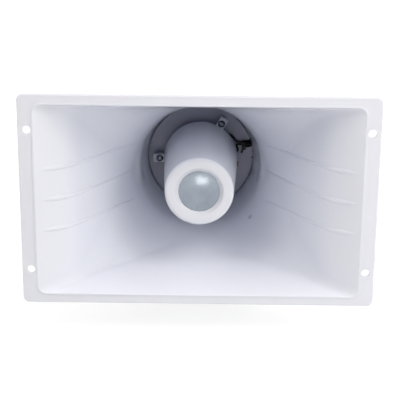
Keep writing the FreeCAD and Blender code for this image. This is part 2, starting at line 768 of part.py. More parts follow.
def dome():
    """The driver's domed diaphragm, closing the coil's former."""
    radius = dome_radius()
    centre = V(0, DIAPHRAGM_Y + DOME_RISE - radius, 0)
    shell = Part.makeSphere(radius, centre).cut(Part.makeSphere(radius - DOME_T, centre))
    return shell.common(disc(COIL_OUTER_R, DIAPHRAGM_Y, DOME_RISE + OVERCUT))


def surround():
    """The film ring that centres the dome, clamped at its outside."""
    film = ring(DRIVER_R, COIL_OUTER_R + SURROUND_PLAY, DIAPHRAGM_Y, SURROUND_T)
    return film.cut([hole(M3_R + HOLE_PLAY, DIAPHRAGM_Y, SURROUND_T, c) for c in driver_screw_places()])


def driver_lug_box(angle):
    """The space of one terminal lug, from its slot in the clamp ring outward."""
    y = CLAMP_Y + (CLAMP_T - LUG_T) / 2
    return radial_box(angle, DRIVER_R - LUG_L / 2, DRIVER_R + LUG_L, LUG_W, y, LUG_T)


def clamp_ring():
    """Moulded ring under the film's edge, which also holds the two terminal lugs."""
    body = ring(DRIVER_R, DRIVER_R - SURROUND_SEAT_W, CLAMP_Y, CLAMP_T)
    cuts = [hole(M3_R + HOLE_PLAY, CLAMP_Y, CLAMP_T, c) for c in driver_screw_places()]
    cuts += [driver_lug_box(a) for a in LUG_ANGLES]
    return body.cut(cuts)


def driver_lugs():
    """The driver's two solder lugs."""
    return Part.makeCompound([driver_lug_box(a) for a in LUG_ANGLES])


def driver_seal():
    """Flat seal between the film's edge and the throat horn."""
    body = ring(DRIVER_R, DRIVER_R - SURROUND_SEAT_W, SEAL_Y, SEAL_T)
    return body.cut([hole(M3_R + HOLE_PLAY, SEAL_Y, SEAL_T, c) for c in driver_screw_places()])


def driver_screws():
    """Screws through the throat horn's flange into the top plate."""
    head_y = THROAT_Y + THROAT_FLANGE_T
    length = head_y - CLAMP_Y + DRIVER_SCREW_BITE
    return Part.makeCompound([
        pan_screw(c + V(0, head_y, 0), AXIS, M3_R, length, M3_HEAD_R, M3_HEAD_H)
        for c in driver_screw_places()
    ])


def exponential_core(extra, start_y, end_y):
    """The throat's air column grown by extra, opening exponentially toward the bullet's rim."""
    length = THROAT_RIM_Y + THROAT_RIM_T - THROAT_Y
    rate = math.log(THROAT_MOUTH_R / THROAT_R) / length
    stops = [start_y + (end_y - start_y) * k / THROAT_STATIONS for k in range(THROAT_STATIONS + 1)]
    curve = Part.BSplineCurve()
    curve.interpolate([V(THROAT_R * math.exp(rate * (y - THROAT_Y)) + extra, y, 0) for y in stops])
    side = curve.toShape()
    low, high = side.firstVertex().Point, side.lastVertex().Point
    rest = Part.makePolygon([high, V(0, end_y, 0), V(0, start_y, 0), low])
    return Part.Face(Part.Wire([side] + rest.Edges)).revolve(V(0, 0, 0), AXIS, 360)


def throat_horn():
    """The inner horn from the driver to the bullet's open rim."""
    rim_end = THROAT_RIM_Y + THROAT_RIM_T
    body = union([
        disc(THROAT_FLANGE_R, THROAT_Y, THROAT_FLANGE_T),
        exponential_core(THROAT_WALL, THROAT_Y, rim_end),
        disc(BULLET_BORE_R - THROAT_FIT, THROAT_RIM_Y, THROAT_RIM_T),
    ])
    cuts = [exponential_core(0.0, THROAT_Y - OVERCUT, rim_end + OVERCUT)]
    cuts.append(disc(PLUG_RING_R + THROAT_FIT, THROAT_Y - OVERCUT, PLUG_SEAT_DEPTH + OVERCUT))
    cuts += [hole(M3_R + HOLE_PLAY, THROAT_Y, THROAT_FLANGE_T, c) for c in driver_screw_places()]
    slot_r = THROAT_MOUTH_R + THROAT_WALL + THROAT_SLOT_MARGIN
    cuts += lead_slots(slot_r, BULLET_BORE_R, THROAT_RIM_Y - OVERCUT, THROAT_RIM_T + 2 * OVERCUT)
    return body.cut(cuts)


def phase_plug():
    """The plug in the throat, on three webs from its seating ring, hollowed to clear the dome."""
    seat_y = THROAT_Y + PLUG_SEAT_DEPTH - PLUG_RING_T
    radius = dome_radius() + DOME_PLAY
    centre = V(0, DIAPHRAGM_Y + DOME_RISE - dome_radius(), 0)
    plug = turned([(0, DIAPHRAGM_Y), (PLUG_BASE_R, DIAPHRAGM_Y), (PLUG_BASE_R, seat_y),
                   (PLUG_TIP_R, seat_y + PLUG_LENGTH), (0, seat_y + PLUG_LENGTH)])
    web_end = (THROAT_R + PLUG_RING_R) / 2
    webs = [radial_box(a, PLUG_BASE_R / 2, web_end, PLUG_WEB_T, seat_y, PLUG_RING_T)
            for a in spaced(PLUG_WEBS, PLUG_WEB_START)]
    body = plug.fuse([ring(PLUG_RING_R, THROAT_R, seat_y, PLUG_RING_T)] + webs)
    return body.cut(Part.makeSphere(radius, centre)).removeSplitter()


def tag_strip():
    """The brown laminate strip that shows just past the bullet's rim."""
    rear = THROAT_RIM_Y + THROAT_RIM_T
    low_r = THROAT_MOUTH_R + TAG_INSET
    seat_l = BULLET_REAR_Y - rear + TAG_T
    seat = radial_box(TAG_ANGLE, low_r, BULLET_BORE_R - TAG_RIM_GAP, TAG_W, rear, seat_l)
    lip = radial_box(TAG_ANGLE, low_r, BULLET_REAR_R + TAG_REACH, TAG_W,
                     BULLET_REAR_Y + TAG_PLAY, TAG_T - TAG_PLAY)
    return union([seat, lip])


def housing_radius(y):
    """Outside radius of the tapering rear housing."""
    return HOUSING_FRONT_R + (HOUSING_REAR_R - HOUSING_FRONT_R) * (y - HOUSING_Y) / HOUSING_DEPTH


def gland_levels():
    """Distances below the axis of the gland's flat inner seat and outer seat."""
    y = REAR_Y - GLAND_Y_FROM_REAR
    narrowest = housing_radius(y + GLAND_PAD_R) - HOUSING_WALL
    inner = math.sqrt(narrowest ** 2 - GLAND_PAD_R ** 2)
    return inner, housing_radius(y - GLAND_PAD_R) + GLAND_PAD_H


def gland_hole(radius, from_depth, to_depth):
    """The cutter for a hole on the gland's axis, running past both ends."""
    return gland_cylinder(radius, from_depth - OVERCUT, to_depth + OVERCUT)


def gland_cylinder(radius, from_depth, to_depth):
    """A cylinder on the gland's axis between two distances below the horn's axis."""
    start = V(0, REAR_Y - GLAND_Y_FROM_REAR, -from_depth)
    return Part.makeCylinder(radius, to_depth - from_depth, start, V(0, 0, -1))


def transformer_feet():
    """Centres of the two bosses that the transformer's strap screws to."""
    x = CORE_W / 2 + STRAP_T + STRAP_FOOT_L / 2
    return [V(side * x, 0, TRANSFORMER_Z) for side in (-1, 1)]


def rear_housing():
    """The cup behind the neck: screw flange, gland pad and two inside bosses, in one moulding."""
    inner_seat, outer_seat = gland_levels()
    end_y = REAR_Y - HOUSING_WALL
    cup = Part.makeCone(HOUSING_FRONT_R, HOUSING_REAR_R, HOUSING_DEPTH, V(0, HOUSING_Y, 0), AXIS)
    back = [e for e in cup.Edges if e.BoundBox.YMin > REAR_Y - HOUSING_WALL]
    cup = cup.makeFillet(HOUSING_EDGE_R, back)
    body = cup.fuse(eared_disc(HOUSING_Y, HOUSING_FLANGE_T))
    space = Part.makeCone(HOUSING_FRONT_R - HOUSING_WALL, HOUSING_REAR_R - HOUSING_WALL,
                          HOUSING_DEPTH - HOUSING_WALL, V(0, HOUSING_Y, 0), AXIS)
    space_back = [e for e in space.Edges if e.BoundBox.YMin > end_y - HOUSING_WALL]
    body = body.cut(space.makeFillet(HOUSING_EDGE_R - HOUSING_WALL, space_back))
    body = union([body, gland_cylinder(GLAND_PAD_R, inner_seat, outer_seat)])
    holes = [gland_hole(GLAND_THREAD_R + PILOT_PLAY, inner_seat, outer_seat)]
    for place in housing_screw_places(HOUSING_Y - OVERCUT):
        holes.append(disc(M4_R + HOLE_PLAY, 0, HOUSING_FLANGE_T + 2 * OVERCUT, place))
    body = body.cut(holes)
    low = end_y - TRANSFORMER_BOSS_H
    into_wall = TRANSFORMER_BOSS_H + HOUSING_WALL / 2
    body = body.fuse([disc(STRAP_FOOT_L / 2, low, into_wall, c) for c in transformer_feet()])
    deep = TRANSFORMER_BOSS_H + PILOT_RUNOUT
    return body.cut([disc(M3_R + PILOT_PLAY, low, deep, c) for c in transformer_feet()])


def housing_gasket():
    """Flat seal between bell and rear housing."""
    low, deep = NECK_END_Y - OVERCUT, HOUSING_GASKET_T + 2 * OVERCUT
    holes = [disc(HOUSING_FRONT_R - HOUSING_WALL, low, deep)]
    holes += [disc(M4_R + HOLE_PLAY, 0, deep, place) for place in housing_screw_places(low)]
    return eared_disc(NECK_END_Y, HOUSING_GASKET_T).cut(holes)


def housing_screws():
    """Screws that hold the rear housing to the bell."""
    length = HOUSING_FLANGE_T + HOUSING_GASKET_T + HOUSING_SCREW_BITE
    head_y = HOUSING_Y + HOUSING_FLANGE_T
    return Part.makeCompound([
        pan_screw(place, AXIS, M4_R, length, M4_HEAD_R, M4_HEAD_H) for place in housing_screw_places(head_y)
    ])


def centred_block(width, height, y, length, centre_z):
    """A block centred on X = 0 at height centre_z."""
    return Part.makeBox(width, length, height, V(-width / 2, y, centre_z - height / 2))


def core_y():
    """Front face of the transformer's iron core."""
    return REAR_Y - HOUSING_WALL - COIL_WRAP - COIL_PLAY - CORE_STACK


def transformer_core():
    """The laminated iron core with its two windows."""
    core = centred_block(CORE_W, CORE_H, core_y(), CORE_STACK, TRANSFORMER_Z)
    window = (CORE_W - 4 * CORE_LEG) / 2
    for side in (-1, 1):
        x = side * (CORE_LEG + window / 2)
        tall, deep = CORE_H - 2 * CORE_LEG, CORE_STACK + 2 * OVERCUT
        cut = centred_block(window, tall, core_y() - OVERCUT, deep, TRANSFORMER_Z)
        core = core.cut(cut.translated(V(x, 0, 0)))
    return core


def transformer_coil():
    """The winding round the core's middle leg."""
    window = (CORE_W - 4 * CORE_LEG) / 2
    height = CORE_H - 2 * CORE_LEG - 2 * COIL_PLAY
    outer = centred_block(2 * (CORE_LEG + window - COIL_PLAY), height, core_y() - COIL_WRAP,
                          CORE_STACK + 2 * COIL_WRAP, TRANSFORMER_Z)
    inner = centred_block(2 * (CORE_LEG + COIL_PLAY / 2), height + 2 * OVERCUT, core_y() - COIL_PLAY / 2,
                          CORE_STACK + COIL_PLAY, TRANSFORMER_Z)
    return outer.cut(inner)


def transformer_strap():
    """The bent steel strap that holds the core down on its two bosses."""
    foot_y = REAR_Y - HOUSING_WALL - TRANSFORMER_BOSS_H - STRAP_T
    band_h = CORE_LEG - STRAP_BORDER
    z = TRANSFORMER_Z + CORE_H / 2 - CORE_LEG / 2
    bridge = centred_block(CORE_W + 2 * STRAP_T, band_h, core_y() - STRAP_T, STRAP_T, z)
    parts = [bridge]
    for side in (-1, 1):
        x = side * (CORE_W / 2 + STRAP_T / 2)
        leg_h = CORE_H / 2 + STRAP_FOOT_L / 2 - STRAP_BORDER
        leg_z = TRANSFORMER_Z - STRAP_FOOT_L / 2 + leg_h / 2
        leg = centred_block(STRAP_T, leg_h, core_y() - STRAP_T, foot_y + 2 * STRAP_T - core_y(), leg_z)
        parts.append(leg.translated(V(x, 0, 0)))
        foot = centred_block(STRAP_FOOT_L + STRAP_T, STRAP_FOOT_L, foot_y, STRAP_T, TRANSFORMER_Z)
        parts.append(foot.translated(V(side * (CORE_W / 2 + STRAP_T / 2 + STRAP_FOOT_L / 2), 0, 0)))
    holes = [hole(M3_R + HOLE_PLAY, foot_y, STRAP_T, c) for c in transformer_feet()]
    return union(parts).cut(holes)


def transformer_screws():
    """The two screws through the strap's feet."""
    head_y = REAR_Y - HOUSING_WALL - TRANSFORMER_BOSS_H - STRAP_T
    length = STRAP_T + TRANSFORMER_BOSS_H
    return Part.makeCompound([
        pan_screw(c + V(0, head_y, 0), V(0, -1, 0), M3_R, length, M3_HEAD_R, M3_HEAD_H)
        for c in transformer_feet()
    ])


def block_ways():
    """Sideways places of the terminal block's screws."""
    pitch = BLOCK_W / BLOCK_WAYS
    return [pitch * (k - (BLOCK_WAYS - 1) / 2) for k in range(BLOCK_WAYS)]


def block_y():
    """Front face of the terminal block."""
    return REAR_Y - HOUSING_WALL - BLOCK_T


def terminal_block():
    """The screw terminal block on the housing's back wall."""
    body = centred_block(BLOCK_W, BLOCK_H, block_y(), BLOCK_T, BLOCK_Z)
    well_r = BLOCK_SCREW_R + BLOCK_WELL_PLAY
    wells = []
    for x in block_ways():
        wells.append(disc(well_r, block_y() - OVERCUT, BLOCK_SCREW_DEPTH + OVERCUT, V(x, 0, BLOCK_Z)))
    return body.cut(wells)


def terminal_screws():
    """One slotted clamp screw in each way of the block."""
    screws = []
    for x in block_ways():
        low = block_y() + BLOCK_SCREW_SUNK
        body = disc(BLOCK_SCREW_R, low, BLOCK_SCREW_DEPTH - BLOCK_SCREW_SUNK, V(x, 0, BLOCK_Z))
        corner = V(x - BLOCK_SCREW_R, low, BLOCK_Z - BLOCK_SLOT_W / 2)
        slot = Part.makeBox(2 * BLOCK_SCREW_R, BLOCK_SLOT_DEPTH, BLOCK_SLOT_W, corner)
        screws.append(body.cut(slot))
    return Part.makeCompound(screws)


def gland_body():
    """Hexagon, inner thread and clamping neck of the cable gland."""
    inner_seat, outer_seat = gland_levels()
    start = V(0, REAR_Y - GLAND_Y_FROM_REAR, -outer_seat)
    hexed = hexagon(GLAND_HEX_AF, start, V(0, 0, -1), GLAND_HEX_T)
    low = outer_seat + GLAND_HEX_T
    high = inner_seat - GLAND_NUT_T - GLAND_THREAD_OUT
    body = union([hexed, gland_cylinder(GLAND_THREAD_R, high, outer_seat),
                  gland_cylinder(GLAND_NECK_R, low, low + GLAND_NECK_L)])
    seat = gland_cylinder(GLAND_SEAL_R, low + GLAND_SEAL_SEAT, low + GLAND_NECK_L + OVERCUT)
    return body.cut([gland_hole(GLAND_BORE_R, high, low + GLAND_NECK_L), seat])


def gland_seal():
    """The rubber ring that closes on a cable when the cap is tightened."""
    low = gland_levels()[1] + GLAND_HEX_T
    outer = gland_cylinder(GLAND_SEAL_R - GLAND_FIT, low + GLAND_SEAL_SEAT, low + GLAND_NECK_L)
    return outer.cut(gland_hole(GLAND_SEAL_BORE_R, low, low + GLAND_NECK_L))


def gland_cap():
    """The domed cap nut, gripped by flutes round its side."""
    low = gland_levels()[1] + GLAND_HEX_T + GLAND_FIT
    cap = gland_cylinder(GLAND_CAP_R, low, low + GLAND_CAP_L)
    end = [e for e in cap.Edges if e.BoundBox.ZMax < -(low + GLAND_CAP_L / 2)]
    cap = cap.makeFillet(GLAND_CAP_WALL, end)
    cap = cap.cut(gland_cylinder(GLAND_NECK_R + GLAND_FIT, low - OVERCUT, low + GLAND_NECK_L))
    cap = cap.cut(gland_hole(GLAND_BORE_R, low, low + GLAND_CAP_L))
    flutes = []
    y = REAR_Y - GLAND_Y_FROM_REAR
    for a in spaced(GLAND_FLUTES, 0.0):
        turn = math.radians(a)
        reach = GLAND_CAP_R + GLAND_FLUTE_OUT
        flute = gland_cylinder(GLAND_FLUTE_R, low - OVERCUT, low + GLAND_CAP_L - 2 * GLAND_CAP_WALL)
        flutes.append(flute.translated(V(reach * math.cos(turn), reach * math.sin(turn), 0)))
    return cap.cut(flutes)


def gland_nut():
    """The locknut inside the housing."""
    inner_seat = gland_levels()[0]
    start = V(0, REAR_Y - GLAND_Y_FROM_REAR, -inner_seat)
    nut = hexagon(GLAND_HEX_AF, start, V(0, 0, 1), GLAND_NUT_T)
    return nut.cut(gland_hole(GLAND_THREAD_R + PILOT_PLAY, inner_seat - GLAND_NUT_T, inner_seat))


def on_pivot(side, x, length, radius):
    """A cylinder on the pivot's axis that starts at x and runs outward on this side."""
    return Part.makeCylinder(radius, length, V(side * x, PIVOT_Y, 0), V(side, 0, 0))


def pivot_bore(side, x, length, radius):
    """The cutter for a hole on the pivot's axis through x to x + length, running past both faces."""
    return on_pivot(side, x - OVERCUT, length + 2 * OVERCUT, radius)


def both_sides(make):
    """The same piece on the left and the right."""
    return Part.makeCompound([make(-1), make(1)])


def pivot_insert(side):
    """A threaded brass insert, knurled over most of its length."""
    start = PIVOT_BOSS_X - INSERT_L
    body = on_pivot(side, start, INSERT_L, INSERT_R)
    return body.cut(pivot_bore(side, start, INSERT_L, BOLT_R + PILOT_PLAY))


def friction_pad(side):
    """The rubber pad between boss and bracket arm."""
    body = on_pivot(side, PIVOT_BOSS_X, PAD_T, PAD_R)
    return body.cut(pivot_bore(side, PIVOT_BOSS_X, PAD_T, BOLT_R + BOLT_PLAY))


def flat_washer(side):
    """The plain washer on the outside of a bracket arm."""
    body = on_pivot(side, BRACKET_OUTER_X, WASHER_T, WASHER_R)
    return body.cut(pivot_bore(side, BRACKET_OUTER_X, WASHER_T, BOLT_R + BOLT_PLAY))


def spring_washer(side):
    """The split spring washer under the bolt's head."""
    start = BRACKET_OUTER_X + WASHER_T
    body = on_pivot(side, start, SPRING_T, SPRING_R)
    body = body.cut(pivot_bore(side, start, SPRING_T, BOLT_R + BOLT_PLAY))
    low = start if side > 0 else -start - SPRING_T
    slot = Part.makeBox(SPRING_T, SPRING_SLOT, SPRING_R + OVERCUT, V(low, PIVOT_Y - SPRING_SLOT / 2, 0))
    return body.cut(slot)


def pivot_bolt(side):
    """The hexagon bolt that clamps a bracket arm to its boss."""
    head_x = BRACKET_OUTER_X + WASHER_T + SPRING_T
    head = hexagon(BOLT_HEAD_AF, V(side * head_x, PIVOT_Y, 0), V(side, 0, 0), BOLT_HEAD_T)
    crown = on_pivot(side, head_x, BOLT_HEAD_T, BOLT_HEAD_AF / math.sqrt(3) - BOLT_CROWN)
    low = PIVOT_BOSS_X - INSERT_L + PILOT_RUNOUT
    return union([head.common(crown), on_pivot(side, low, head_x - low, BOLT_R)])


def bracket_outline():
    """Side view of the bracket: a wide foot tapering to a round head about the pivot."""
    foot, rise = BRACKET_FOOT_L / 2, AXIS_HEIGHT - BRACKET_FOOT_RISE
    turn = math.atan2(-rise, foot) + math.acos(BRACKET_TOP_R / math.hypot(foot, rise))
    touch = V(0, BRACKET_TOP_R * math.cos(turn), BRACKET_TOP_R * math.sin(turn))
    mirror = V(0, -touch.y, touch.z)
    front = [V(0, -foot, -rise), V(0, -foot, -AXIS_HEIGHT)]
    back = [V(0, foot, -AXIS_HEIGHT), V(0, foot, -rise)]
    corners = [mirror] + front + back + [touch]
    head = Part.Arc(touch, V(0, 0, BRACKET_TOP_R), mirror).toShape()
    wire = Part.Wire(Part.makePolygon(corners).Edges + [head])
    return wire.translated(V(-BRACKET_OUTER_X - OVERCUT, PIVOT_Y, 0))


def bent_strip(half_width_x, bend_r, low_z, reach):
    """A filled channel section along Y, with its two lower edges rounded."""
    tall = AXIS_HEIGHT + 2 * BRACKET_TOP_R
    corner = V(-half_width_x, PIVOT_Y - reach, low_z)
    block = Part.makeBox(2 * half_width_x, 2 * reach, tall, corner)
    low = [e for e in block.Edges if e.BoundBox.ZMax < low_z + bend_r and e.BoundBox.YLength > reach]
    return block.makeFillet(bend_r, low)


def mount_bracket():
    """The bent steel U bracket with its pivot holes, base hole and base slots."""
    reach = BRACKET_FOOT_L / 2
    outer = bent_strip(BRACKET_OUTER_X, BRACKET_BEND_R + BRACKET_T, -AXIS_HEIGHT, reach)
    inner = bent_strip(BRACKET_INNER_X, BRACKET_BEND_R, BRACKET_T - AXIS_HEIGHT, reach + OVERCUT)
    sheet = outer.cut(inner)
    across, through = 2 * (BRACKET_OUTER_X + OVERCUT), BRACKET_T + 2 * OVERCUT
    side_view = Part.Face(bracket_outline()).extrude(V(across, 0, 0))
    bracket = sheet.common(side_view)
    span = V(-across / 2, PIVOT_Y, 0)
    holes = [Part.makeCylinder(BOLT_R + BOLT_PLAY, across, span, V(1, 0, 0))]
    floor = V(0, PIVOT_Y, -AXIS_HEIGHT - OVERCUT)
    holes.append(Part.makeCylinder(BASE_HOLE_R, through, floor))
    straight = BASE_SLOT_L - 2 * BASE_SLOT_R
    for side in (-1, 1):
        middle = floor + V(side * BASE_SLOT_SPACING / 2, 0, 0)
        for end in (-1, 1):
            holes.append(Part.makeCylinder(BASE_SLOT_R, through, middle + V(end * straight / 2, 0, 0)))
        corner = middle - V(straight / 2, BASE_SLOT_R, 0)
        holes.append(Part.makeBox(straight, 2 * BASE_SLOT_R, through, corner))
    return bracket.cut(holes)


def routed(points):
    """A path of straight runs joined by tangent arcs as large as the runs allow."""
    edges = []
    at = points[0]
    for before, corner, after in zip(points, points[1:], points[2:]):
        arrive, leave = (corner - before), (after - corner)
        turn = arrive.getAngle(leave)
        short = min(arrive.Length, leave.Length)
        reach = BEND_SHARE * short
        start = corner - V(arrive).normalize() * reach
        end = corner + V(leave).normalize() * reach
        bulge = (V(leave).normalize() - V(arrive).normalize()).normalize()
        radius = reach / math.tan(turn / 2)
        middle = corner + bulge * (radius / math.cos(turn / 2) - radius)
        edges.append(Part.LineSegment(at, start).toShape())
        edges.append(Part.Arc(start, middle, end).toShape())
        at = end
    edges.append(Part.LineSegment(at, points[-1]).toShape())
    return Part.Wire(edges)


def tube(points, radius):
    """A round lead or sleeve along the routed path."""
    path = routed(points)
    start = Part.makeCircle(radius, points[0], points[1] - points[0])
    return path.makePipeShell([Part.Wire([start])], True, False)


def sleeve_start():
    """Where the two leads go into their common sleeve, outside the bullet's rim."""
    return polar(BULLET_REAR_R + SLEEVE_START_OUT, CABLE_NOTCH_ANGLE + SLEEVE_START_TURN, SLEEVE_START_Y)


def sleeve_route():
    """The sleeve's way across the plate, back through the notch and to the terminal block."""
    notch_r = NECK_REAR_R - SLEEVE_R - SLEEVE_GAP
    start = sleeve_start()
    over = polar(notch_r, CABLE_NOTCH_ANGLE, SLEEVE_START_Y + SLEEVE_DIP)
    behind = polar(notch_r, CABLE_NOTCH_ANGLE, NECK_END_Y + SLEEVE_DROP)
    block_side = V(BLOCK_W / 2, block_y() + BLOCK_T / 2, BLOCK_Z)
    return [
        start,
        over,
        behind,
        V(0, behind.y, 0) + V(*SLEEVE_TURN),
        block_side + V(*BLOCK_APPROACH),
        block_side + V(BLOCK_ENTRY, 0, 0),
        block_side,
    ]


def lead_route(which):
    """One driver lead: from its lug, along the bullet's wall, out under the rim to the sleeve."""
    lug_angle, slot_angle = LUG_ANGLES[which], LEAD_ANGLES[which]
    slot_r = BULLET_BORE_R - LEAD_R - LEAD_WALL_GAP
    lug_y = CLAMP_Y + (CLAMP_T + LUG_T) / 2
    along = (sleeve_route()[1] - sleeve_start()).normalize()
    solder_r = DRIVER_R + LUG_L - LEAD_R - SOLDER_INSET
    across = along.cross(AXIS).normalize() * (LEAD_R + LEAD_GAP)
    goal = sleeve_start() + (across if which == 0 else -across)
    sweep = LEAD_SWEEP[which]
    return [
        polar(solder_r, lug_angle, lug_y),
        polar(solder_r, lug_angle, lug_y + LEAD_STRAIGHT),
        polar(slot_r - LEAD_BOW, slot_angle, (lug_y + THROAT_RIM_Y) / 2 + LEAD_STRAIGHT),
        polar(slot_r - LEAD_LEAN, slot_angle, BULLET_REAR_Y - LEAD_TUCK),
        polar(BULLET_REAR_R - LEAD_BOW, slot_angle + sweep / 6, SLEEVE_START_Y - LEAD_LIFT),
        polar(BULLET_REAR_R + LEAD_OUT, slot_angle + sweep / 2, SLEEVE_START_Y - LEAD_LIFT),
        goal - along * LEAD_END_L,
        goal,
    ]


def lead(which):
    """One of the two black leads."""
    return tube(lead_route(which), LEAD_R)


def lead_sleeve():
    """The black sleeve round both leads."""
    return tube(sleeve_route(), SLEEVE_R)


def cable_tie():
    """The nylon tie round the sleeve, with its head and cut tail."""
    start, over = sleeve_route()[:2]
    along = (over - start).normalize()
    middle = start + along * TIE_AT
    base = middle - along * (TIE_W / 2)
    band = Part.makeCylinder(SLEEVE_R + TIE_PLAY + TIE_T, TIE_W, base, along)
    head = Part.makeBox(TIE_HEAD, TIE_HEAD, TIE_HEAD, V(-TIE_HEAD / 2, -TIE_HEAD / 2, -TIE_HEAD / 2))
    head.translate(middle + V(0, 0, -(SLEEVE_R + TIE_HEAD / 2 + TIE_HEAD_GAP)))
    tail = Part.makeBox(TIE_TAIL_W, TIE_T, TIE_TAIL_L, V(-TIE_TAIL_W / 2, -TIE_T / 2, -TIE_TAIL_L))
    tail.rotate(V(0, 0, 0), AXIS, TIE_TAIL_LEAN)
    tail.translate(middle + V(0, 0, -(SLEEVE_R + TIE_HEAD / 2)))
    body = band.fuse([head, tail]).removeSplitter()
    return body.cut(Part.makeCylinder(SLEEVE_R + TIE_PLAY, 3 * TIE_W, base - along * TIE_W, along))


PIECES = {
    "bell": bell,
    "neck_plate": neck_plate,
    "plate_gasket": plate_gasket,
    "plate_screws": plate_screws,
    "bullet_shell": bullet_shell,
    "bullet_screws": bullet_screws,
    "bullet_badge": badge,
    "driver_yoke": yoke,
    "driver_magnet": magnet,
    "driver_top_plate": top_plate,
    "voice_coil": voice_coil,
    "diaphragm_dome": dome,
    "diaphragm_surround": surround,
    "driver_clamp_ring": clamp_ring,
    "driver_lugs": driver_lugs,
    "driver_seal": driver_seal,
    "driver_screws": driver_screws,
    "throat_horn": throat_horn,
    "phase_plug": phase_plug,
    "tag_strip": tag_strip,
    "rear_housing": rear_housing,
    "housing_gasket": housing_gasket,
    "housing_screws": housing_screws,
    "transformer_core": transformer_core,
    "transformer_coil": transformer_coil,
    "transformer_strap": transformer_strap,
    "transformer_screws": transformer_screws,
    "terminal_block": terminal_block,
    "terminal_screws": terminal_screws,
    "gland_body": gland_body,
    "gland_seal": gland_seal,
    "gland_cap": gland_cap,
    "gland_nut": gland_nut,
    "pivot_inserts": lambda: both_sides(pivot_insert),
    "friction_pads": lambda: both_sides(friction_pad),
    "flat_washers": lambda: both_sides(flat_washer),
    "spring_washers": lambda: both_sides(spring_washer),
    "pivot_bolts": lambda: both_sides(pivot_bolt),
    "mount_bracket": mount_bracket,
    "lead_upper": lambda: lead(0),
    "lead_lower": lambda: lead(1),
    "lead_sleeve": lead_sleeve,
    "cable_tie": cable_tie,
}


def main():
    """Write every piece as a STEP file in the stored frame."""
    os.makedirs("parts", exist_ok=True)
    for name, make in PIECES.items():
        shape = make()
        shape.translate(V(0, -REAR_Y / 2, AXIS_HEIGHT))
        print(name, shape.isValid(), len(shape.Solids), round(shape.Volume), len(shape.Faces))
        shape.exportStep("parts/" + name + ".step")


main()
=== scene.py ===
"""The looks of a rectangular public-address horn: a finish for every moulding and fitting, the leads as
soft curves, and a plain studio with its lamps, floor and camera. Lengths are in metres."""
import math

import bpy
from mathutils import Matrix, Vector


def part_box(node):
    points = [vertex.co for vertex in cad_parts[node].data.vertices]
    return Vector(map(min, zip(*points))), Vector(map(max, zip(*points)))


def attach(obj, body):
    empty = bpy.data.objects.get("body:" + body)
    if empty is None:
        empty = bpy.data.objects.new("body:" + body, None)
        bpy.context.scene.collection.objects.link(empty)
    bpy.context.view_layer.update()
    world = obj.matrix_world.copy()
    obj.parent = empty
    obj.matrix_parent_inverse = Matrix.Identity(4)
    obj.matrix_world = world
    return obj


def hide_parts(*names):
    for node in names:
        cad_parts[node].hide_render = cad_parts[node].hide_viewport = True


MM = 0.001
AXIS_HEIGHT = 140 * MM                   # of the horn over the floor
THROAT_Y = 7.25 * MM                     # where the flare ends and the round neck begins
PIN_MARK = (0.0554, -0.0111, 0.0891)     # 2 mm off the wall, over a push-out pin's shallow recess low in the throat, whose shade is painted
ABS_IOR = 1.54

COLOUR_A, COLOUR_B, COLOUR = 6, 7, 2     # a Mix node's two colours in and its colour out, by number
VECTOR_A, VECTOR_B, VECTOR = 4, 5, 1     # the same for vectors

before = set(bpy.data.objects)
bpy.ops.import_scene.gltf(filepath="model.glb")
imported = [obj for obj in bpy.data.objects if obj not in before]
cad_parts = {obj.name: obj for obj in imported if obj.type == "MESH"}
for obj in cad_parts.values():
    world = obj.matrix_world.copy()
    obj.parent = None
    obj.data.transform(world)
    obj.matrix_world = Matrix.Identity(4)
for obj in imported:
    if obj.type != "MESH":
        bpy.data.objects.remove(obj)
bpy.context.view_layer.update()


# Small helpers for finishes

def linear(code):
    """An sRGB hex colour as the linear red, green, blue and alpha that shaders read."""
    parts = [int(code[i:i + 2], 16) / 255 for i in (1, 3, 5)]
    return [p / 12.92 if p <= 0.04045 else ((p + 0.055) / 1.055) ** 2.4 for p in parts] + [1.0]


def add(tree, kind, links=None, at=None, **settings):
    """One shader node. A lower-case setting is the node's own field and any other is a socket's value.
    at gives sockets by number a value, and links feed sockets, by name or number, from other nodes."""
    made = tree.nodes.new("ShaderNode" + kind)
    for name, value in settings.items():
        if name[0].islower():
            setattr(made, name, value)
        else:
            made.inputs[name.replace("_", " ")].default_value = value
    for number, value in (at or {}).items():
        made.inputs[number].default_value = value
    for place, socket in (links or {}).items():
        tree.links.new(socket, made.inputs[place])
    return made


def blank(name):
    """A new finish with its shader wired to the output, and the piece's own coordinates."""
    made = bpy.data.materials.new(name)
    made.use_nodes = True
    tree = made.node_tree
    tree.nodes.clear()
    shader = add(tree, "BsdfPrincipled")
    add(tree, "OutputMaterial", {"Surface": shader.outputs["BSDF"]})
    place = add(tree, "TexCoord").outputs["Object"]
    return made, tree, shader, place


def from_axis(tree, place, centre):
    """How far a point of the piece is from the line through the centre along the horn."""
    moved = add(tree, "VectorMath", {0: place}, at={1: centre}, operation="SUBTRACT")
    across = add(tree, "VectorMath", {0: moved.outputs["Vector"]}, at={1: (1.0, 0.0, 1.0)},
                 operation="MULTIPLY")
    return add(tree, "VectorMath", {0: across.outputs["Vector"]}, operation="LENGTH").outputs["Value"]


def crown(tree, reach, middle, slope):
    """The height of a face that is crowned round a circle: it falls away to both sides of it. The slope
    is the steepness 10 mm from the circle."""
    off = add(tree, "Math", {0: reach}, at={1: middle}, operation="SUBTRACT")
    square = add(tree, "Math", {0: off.outputs[0], 1: off.outputs[0]}, operation="MULTIPLY")
    fall = add(tree, "Math", {0: square.outputs[0]}, at={1: -slope / (20 * MM)}, operation="MULTIPLY")
    return fall.outputs[0]


# The finishes

